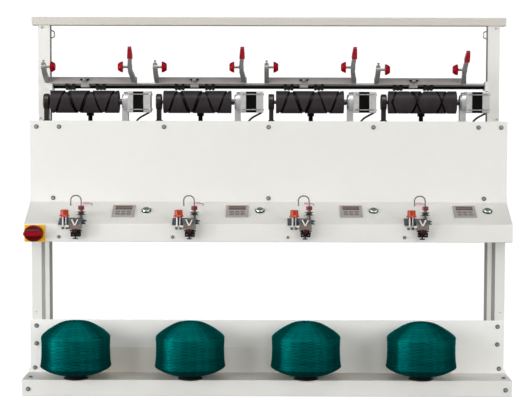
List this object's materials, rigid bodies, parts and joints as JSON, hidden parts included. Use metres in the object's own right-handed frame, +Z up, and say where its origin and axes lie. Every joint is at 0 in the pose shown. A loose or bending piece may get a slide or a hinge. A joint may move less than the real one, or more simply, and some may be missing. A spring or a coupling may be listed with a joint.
{
  "type": "yarn winding machine",
  "caption": "Free-standing yarn winding machine: grooved drums with motors and tube cradles above a panel, a sloped shelf with yarn tensioners and controls, and a tray of yarn packages.",
  "frame": {"origin": "bottom centre of the machine's box, on the floor", "axes": "+Z up, +X to the right of a person in front of the machine, -Y towards that person"},
  "size_m": [1.988, 0.6054, 1.5295],
  "materials": {
    "cream_paint": "satin powder coat",
    "warm_grey_paint": "satin powder coat",
    "zinc_steel": "zinc plated",
    "ground_steel": "ground",
    "black_paint": "satin",
    "black_casting": "painted black",
    "brown_black_casting": "painted",
    "cast_aluminium": "as cast",
    "motor_black": "satin",
    "cable_black": "matt",
    "white_plastic": "matt",
    "meter_grey": "matt",
    "bezel_black": "satin",
    "switch_yellow": "satin",
    "switch_red": "gloss",
    "drive_grey": "matt",
    "slate_paint": "satin",
    "clearer_grey": "matt",
    "guide_ceramic": "glazed",
    "cap_orange": "gloss",
    "bright_wire": "bright",
    "teal_yarn": "wound thread",
    "tube_black": "matt",
    "drum_dark_grey": "moulded, satin",
    "cradle_grey": "painted grey",
    "lever_red_grip": "grey casting with a red grip",
    "cone_red": "gloss",
    "button_green": "gloss",
    "knob_dark_red": "gloss"
  },
  "bodies": {
    "machine": {"end_frames": "cream_paint", "upper_posts": "cream_paint", "cabinet_shell": "cream_paint", "front_panel": "cream_paint", "control_shelf": "cream_paint", "tray": "cream_paint", "top_beam": "warm_grey_paint", "levelling_feet": "zinc_steel", "bolts": "zinc_steel", "cradle_shaft": "ground_steel", "ball_bearings": "ground_steel", "support_rail": "black_paint", "shaft_hangers": "black_casting", "sensor_posts": "black_paint", "bearing_brackets": "brown_black_casting", "motor_brackets": "cast_aluminium", "motor_end_caps": "cast_aluminium", "motor_stators": "motor_black", "motor_cables": "cable_black", "rail_end_holders": "white_plastic", "panel_meters": "meter_grey", "button_bezels": "bezel_black", "switch_plate": "switch_yellow", "cabinet_electrics": "drive_grey", "tension_plates": "slate_paint", "yarn_clearers": "clearer_grey", "ceramic_guides": "guide_ceramic", "tension_caps": "cap_orange", "tension_hooks": "bright_wire", "yarn_packages": "teal_yarn", "package_tubes": "tube_black"},
    "drum_1": {"drum_1": "drum_dark_grey"},
    "cradle_1": {"cradle_1": "cradle_grey"},
    "release_arm_1": {"release_arm_1": "lever_red_grip"},
    "cone_left_1": {"cone_left_1": "cone_red"},
    "cone_right_1": {"cone_right_1": "cone_red"},
    "push_button_1": {"push_button_1": "button_green"},
    "tension_knob_1": {"tension_knob_1": "knob_dark_red"},
    "drum_2": {"drum_2": "drum_dark_grey"},
    "cradle_2": {"cradle_2": "cradle_grey"},
    "release_arm_2": {"release_arm_2": "lever_red_grip"},
    "cone_left_2": {"cone_left_2": "cone_red"},
    "cone_right_2": {"cone_right_2": "cone_red"},
    "push_button_2": {"push_button_2": "button_green"},
    "tension_knob_2": {"tension_knob_2": "knob_dark_red"},
    "drum_3": {"drum_3": "drum_dark_grey"},
    "cradle_3": {"cradle_3": "cradle_grey"},
    "release_arm_3": {"release_arm_3": "lever_red_grip"},
    "cone_left_3": {"cone_left_3": "cone_red"},
    "cone_right_3": {"cone_right_3": "cone_red"},
    "push_button_3": {"push_button_3": "button_green"},
    "tension_knob_3": {"tension_knob_3": "knob_dark_red"},
    "drum_4": {"drum_4": "drum_dark_grey"},
    "cradle_4": {"cradle_4": "cradle_grey"},
    "release_arm_4": {"release_arm_4": "lever_red_grip"},
    "cone_left_4": {"cone_left_4": "cone_red"},
    "cone_right_4": {"cone_right_4": "cone_red"},
    "push_button_4": {"push_button_4": "button_green"},
    "tension_knob_4": {"tension_knob_4": "knob_dark_red"},
    "switch_knob": {"switch_knob": "switch_red"}
  },
  "joints": [
    {"name": "drum_1_spin", "type": "hinge", "parent": "machine", "child": "drum_1", "pos_m": [-0.7476, 0.00725, 1.1752], "axis": [1, 0, 0], "continuous": true},
    {"name": "cradle_1_lift", "type": "hinge", "parent": "machine", "child": "cradle_1", "pos_m": [-0.7476, 0.18425, 1.249], "axis": [1, 0, 0], "range_deg": [0, 29]},
    {"name": "release_arm_1_swing", "type": "hinge", "parent": "cradle_1", "child": "release_arm_1", "pos_m": [-0.5606, 0.15825, 1.264], "axis": [0, 1, 0], "range_deg": [0, 15], "stiffness_Nm_per_rad": 2, "springref_deg": -8.59},
    {"name": "cone_left_1_spin", "type": "hinge", "parent": "cradle_1", "child": "cone_left_1", "pos_m": [-0.8961, 0.05425, 1.3182], "axis": [1, 0, 0], "continuous": true},
    {"name": "cone_right_1_spin", "type": "hinge", "parent": "release_arm_1", "child": "cone_right_1", "pos_m": [-0.5991, 0.05425, 1.3182], "axis": [1, 0, 0], "continuous": true},
    {"name": "push_button_1_press", "type": "slide", "parent": "machine", "child": "push_button_1", "axis": [0, 0.4404, -0.8978], "range_m": [0, 0.004], "stiffness_N_per_m": 300, "springref_m": -0.002},
    {"name": "tension_knob_1_turn", "type": "hinge", "parent": "machine", "child": "tension_knob_1", "pos_m": [-0.7469, -0.15475, 0.753], "axis": [0, 0, 1], "range_deg": [-360, 360]},
    {"name": "drum_2_spin", "type": "hinge", "parent": "machine", "child": "drum_2", "pos_m": [-0.29, 0.00725, 1.1752], "axis": [1, 0, 0], "continuous": true},
    {"name": "cradle_2_lift", "type": "hinge", "parent": "machine", "child": "cradle_2", "pos_m": [-0.29, 0.18425, 1.249], "axis": [1, 0, 0], "range_deg": [0, 29]},
    {"name": "release_arm_2_swing", "type": "hinge", "parent": "cradle_2", "child": "release_arm_2", "pos_m": [-0.103, 0.15825, 1.264], "axis": [0, 1, 0], "range_deg": [0, 15], "stiffness_Nm_per_rad": 2, "springref_deg": -8.59},
    {"name": "cone_left_2_spin", "type": "hinge", "parent": "cradle_2", "child": "cone_left_2", "pos_m": [-0.4385, 0.05425, 1.3182], "axis": [1, 0, 0], "continuous": true},
    {"name": "cone_right_2_spin", "type": "hinge", "parent": "release_arm_2", "child": "cone_right_2", "pos_m": [-0.1415, 0.05425, 1.3182], "axis": [1, 0, 0], "continuous": true},
    {"name": "push_button_2_press", "type": "slide", "parent": "machine", "child": "push_button_2", "axis": [0, 0.4404, -0.8978], "range_m": [0, 0.004], "stiffness_N_per_m": 300, "springref_m": -0.002},
    {"name": "tension_knob_2_turn", "type": "hinge", "parent": "machine", "child": "tension_knob_2", "pos_m": [-0.2956, -0.15475, 0.753], "axis": [0, 0, 1], "range_deg": [-360, 360]},
    {"name": "drum_3_spin", "type": "hinge", "parent": "machine", "child": "drum_3", "pos_m": [0.1676, 0.00725, 1.1752], "axis": [1, 0, 0], "continuous": true},
    {"name": "cradle_3_lift", "type": "hinge", "parent": "machine", "child": "cradle_3", "pos_m": [0.1676, 0.18425, 1.249], "axis": [1, 0, 0], "range_deg": [0, 29]},
    {"name": "release_arm_3_swing", "type": "hinge", "parent": "cradle_3", "child": "release_arm_3", "pos_m": [0.3546, 0.15825, 1.264], "axis": [0, 1, 0], "range_deg": [0, 15], "stiffness_Nm_per_rad": 2, "springref_deg": -8.59},
    {"name": "cone_left_3_spin", "type": "hinge", "parent": "cradle_3", "child": "cone_left_3", "pos_m": [0.0191, 0.05425, 1.3182], "axis": [1, 0, 0], "continuous": true},
    {"name": "cone_right_3_spin", "type": "hinge", "parent": "release_arm_3", "child": "cone_right_3", "pos_m": [0.3161, 0.05425, 1.3182], "axis": [1, 0, 0], "continuous": true},
    {"name": "push_button_3_press", "type": "slide", "parent": "machine", "child": "push_button_3", "axis": [0, 0.4404, -0.8978], "range_m": [0, 0.004], "stiffness_N_per_m": 300, "springref_m": -0.002},
    {"name": "tension_knob_3_turn", "type": "hinge", "parent": "machine", "child": "tension_knob_3", "pos_m": [0.1623, -0.15475, 0.753], "axis": [0, 0, 1], "range_deg": [-360, 360]},
    {"name": "drum_4_spin", "type": "hinge", "parent": "machine", "child": "drum_4", "pos_m": [0.6252, 0.00725, 1.1752], "axis": [1, 0, 0], "continuous": true},
    {"name": "cradle_4_lift", "type": "hinge", "parent": "machine", "child": "cradle_4", "pos_m": [0.6252, 0.18425, 1.249], "axis": [1, 0, 0], "range_deg": [-4, 25]},
    {"name": "release_arm_4_swing", "type": "hinge", "parent": "cradle_4", "child": "release_arm_4", "pos_m": [0.8122, 0.15727, 1.26215], "axis": [0, 0.9976, 0.0698], "range_deg": [0, 15], "stiffness_Nm_per_rad": 2, "springref_deg": -8.59},
    {"name": "cone_left_4_spin", "type": "hinge", "parent": "cradle_4", "child": "cone_left_4", "pos_m": [0.4767, 0.04974, 1.30896], "axis": [1, 0, 0], "continuous": true},
    {"name": "cone_right_4_spin", "type": "hinge", "parent": "release_arm_4", "child": "cone_right_4", "pos_m": [0.7737, 0.04974, 1.30896], "axis": [1, 0, 0], "continuous": true},
    {"name": "push_button_4_press", "type": "slide", "parent": "machine", "child": "push_button_4", "axis": [0, 0.4404, -0.8978], "range_m": [0, 0.004], "stiffness_N_per_m": 300, "springref_m": -0.002},
    {"name": "tension_knob_4_turn", "type": "hinge", "parent": "machine", "child": "tension_knob_4", "pos_m": [0.6254, -0.15475, 0.753], "axis": [0, 0, 1], "range_deg": [-360, 360]},
    {"name": "switch_knob_turn", "type": "hinge", "parent": "machine", "child": "switch_knob", "pos_m": [-0.9266, -0.20075, 0.6535], "axis": [0, 1, 0], "range_deg": [0, 90]}
  ]
}
